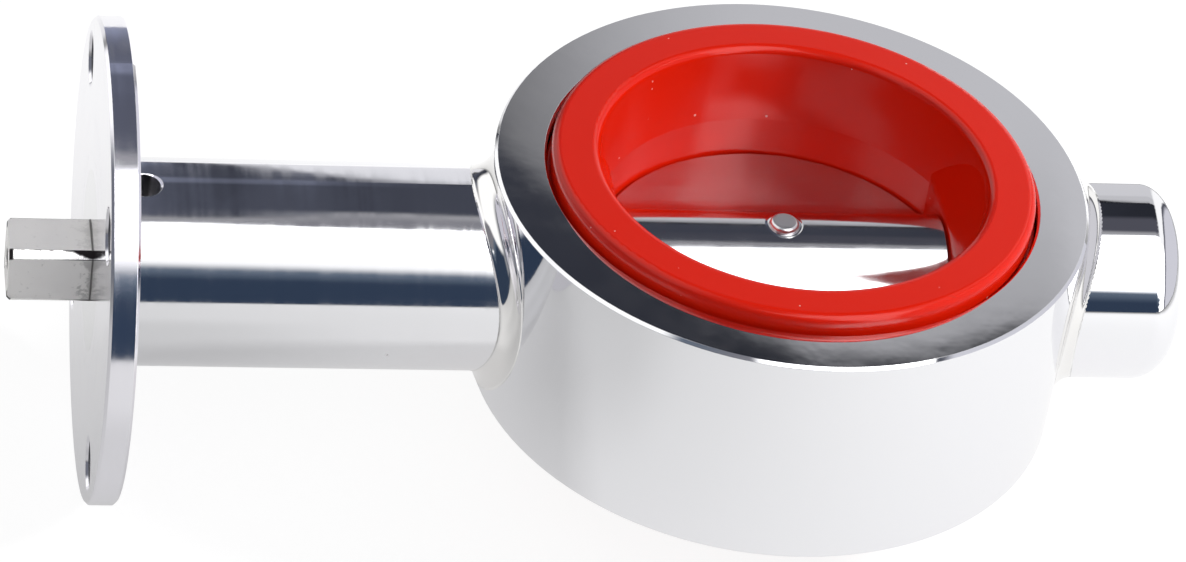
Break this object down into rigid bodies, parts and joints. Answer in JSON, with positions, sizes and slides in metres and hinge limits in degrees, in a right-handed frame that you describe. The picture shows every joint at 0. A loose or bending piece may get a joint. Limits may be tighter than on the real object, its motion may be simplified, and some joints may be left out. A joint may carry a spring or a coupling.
{
  "type": "sanitary butterfly valve",
  "caption": "Wafer-style butterfly valve: polished ring with a soft seat, pinned disc on a square-ended stem, neck with actuator flange and blind boss.",
  "frame": {"origin": "the point where the stem axis crosses the pipe axis, at the middle of the bore", "axes": "+X along the stem from the actuator flange to the blind boss, +Z along the pipe axis"},
  "size_m": [0.2055, 0.104, 0.084],
  "materials": {
    "polished_steel": "mirror-polished stainless steel",
    "satin_steel": "turned and fine-ground stainless steel",
    "milled_steel": "milled stainless steel",
    "red_silicone": "smooth moulded silicone",
    "bearing_polymer": "machined fluoropolymer",
    "black_elastomer": "moulded elastomer"
  },
  "bodies": {
    "valve_body": {"body_ring": "polished_steel", "neck_tube": "polished_steel", "actuator_flange": "satin_steel", "flange_weld": "satin_steel", "neck_weld": "polished_steel", "blind_boss": "polished_steel", "boss_weld": "polished_steel", "seat": "red_silicone", "neck_bush_upper": "bearing_polymer", "neck_bush_lower": "bearing_polymer", "boss_bush": "bearing_polymer", "thrust_pad": "bearing_polymer", "stem_wiper": "black_elastomer"},
    "disc_and_stem": {"disc": "polished_steel", "stem": "milled_steel", "disc_pin": "polished_steel", "stem_o_ring_upper": "black_elastomer", "stem_o_ring_lower": "black_elastomer", "stem_o_ring_boss": "black_elastomer"}
  },
  "joints": [
    {"name": "stem_turn", "type": "hinge", "parent": "valve_body", "child": "disc_and_stem", "pos_m": [0, 0, 0], "axis": [1, 0, 0], "range_deg": [0, 90]}
  ]
}
